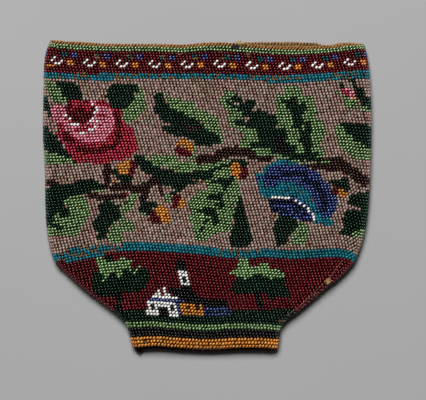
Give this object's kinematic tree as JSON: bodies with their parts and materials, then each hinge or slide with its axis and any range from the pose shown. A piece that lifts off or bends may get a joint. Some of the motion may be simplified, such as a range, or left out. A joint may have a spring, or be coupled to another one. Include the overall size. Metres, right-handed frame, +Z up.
{
  "type": "beaded bag",
  "caption": "Flat knitted pouch covered in glass beads, with a wide open mouth, round folds and a narrow sewn foot; bands, a flower garland and a small landscape on its front.",
  "frame": {"origin": "centre of the bounding box, at the face that the bag lies on", "axes": "+X across the bag to the right of its pictured side, +Y from the foot to the mouth, +Z up out of the pictured side"},
  "size_m": [0.1722, 0.1622, 0.01],
  "materials": {
    "tan_thread": "matt knitted thread",
    "grey_thread": "matt twisted thread",
    "light_green_glass": "opaque glossy seed beads",
    "dark_green_glass": "opaque glossy seed beads",
    "maroon_glass": "opaque glossy seed beads",
    "crimson_glass": "opaque glossy seed beads",
    "pink_glass": "opaque glossy seed beads",
    "turquoise_glass": "opaque glossy seed beads",
    "mauve_glass": "opaque glossy seed beads",
    "brown_glass": "opaque glossy seed beads",
    "blue_glass": "opaque glossy seed beads",
    "navy_glass": "opaque glossy seed beads",
    "gold_glass": "opaque glossy seed beads",
    "black_glass": "opaque glossy seed beads",
    "white_glass": "opaque glossy seed beads"
  },
  "bodies": {
    "root": {"knitted_body": "tan_thread", "foot_seam_thread": "tan_thread", "mouth_knot": "grey_thread", "gold_foot_beads": "gold_glass", "black_foot_beads": "black_glass", "lower_green_beads": "light_green_glass", "ground_beads": "dark_green_glass", "landscape_beads": "maroon_glass", "lower_turquoise_beads": "turquoise_glass", "rim_beads": "light_green_glass", "border_beads": "maroon_glass", "upper_turquoise_beads": "turquoise_glass", "field_beads": "mauve_glass", "rose_petal_beads": "pink_glass", "rose_heart_beads": "maroon_glass", "rose_beads": "crimson_glass", "flower_ring_beads": "turquoise_glass", "flower_heart_beads": "navy_glass", "flower_beads": "blue_glass", "rosebud_beads": "pink_glass", "edge_leaf_beads": "dark_green_glass", "left_branch_beads": "brown_glass", "middle_branch_beads": "brown_glass", "right_branch_beads": "brown_glass", "left_tree_top_beads": "light_green_glass", "left_tree_beads": "dark_green_glass", "right_tree_top_beads": "light_green_glass", "right_tree_beads": "dark_green_glass", "steeple_beads": "white_glass", "house_front_beads": "white_glass", "barn_beads": "gold_glass", "roof_beads": "black_glass", "rose_berry_beads": "gold_glass", "leaf_berry_beads": "gold_glass", "low_berry_beads": "gold_glass", "small_berry_beads": "gold_glass", "centre_berry_beads": "gold_glass", "edge_berry_beads": "gold_glass", "top_left_leaf_light_beads": "light_green_glass", "top_left_leaf_dark_beads": "dark_green_glass", "rose_leaf_light_beads": "light_green_glass", "rose_leaf_dark_beads": "dark_green_glass", "side_leaf_light_beads": "light_green_glass", "side_leaf_dark_beads": "dark_green_glass", "centre_leaf_light_beads": "light_green_glass", "centre_leaf_dark_beads": "dark_green_glass", "branch_leaf_light_beads": "light_green_glass", "branch_leaf_dark_beads": "dark_green_glass", "oak_leaf_light_beads": "light_green_glass", "oak_leaf_dark_beads": "dark_green_glass", "lobed_leaf_light_beads": "light_green_glass", "lobed_leaf_dark_beads": "dark_green_glass", "right_leaf_light_beads": "light_green_glass", "right_leaf_dark_beads": "dark_green_glass", "hip_leaf_light_beads": "light_green_glass", "hip_leaf_dark_beads": "dark_green_glass", "low_leaf_light_beads": "light_green_glass", "low_leaf_dark_beads": "dark_green_glass", "flower_leaf_light_beads": "light_green_glass", "flower_leaf_dark_beads": "dark_green_glass"}
  },
  "joints": []
}
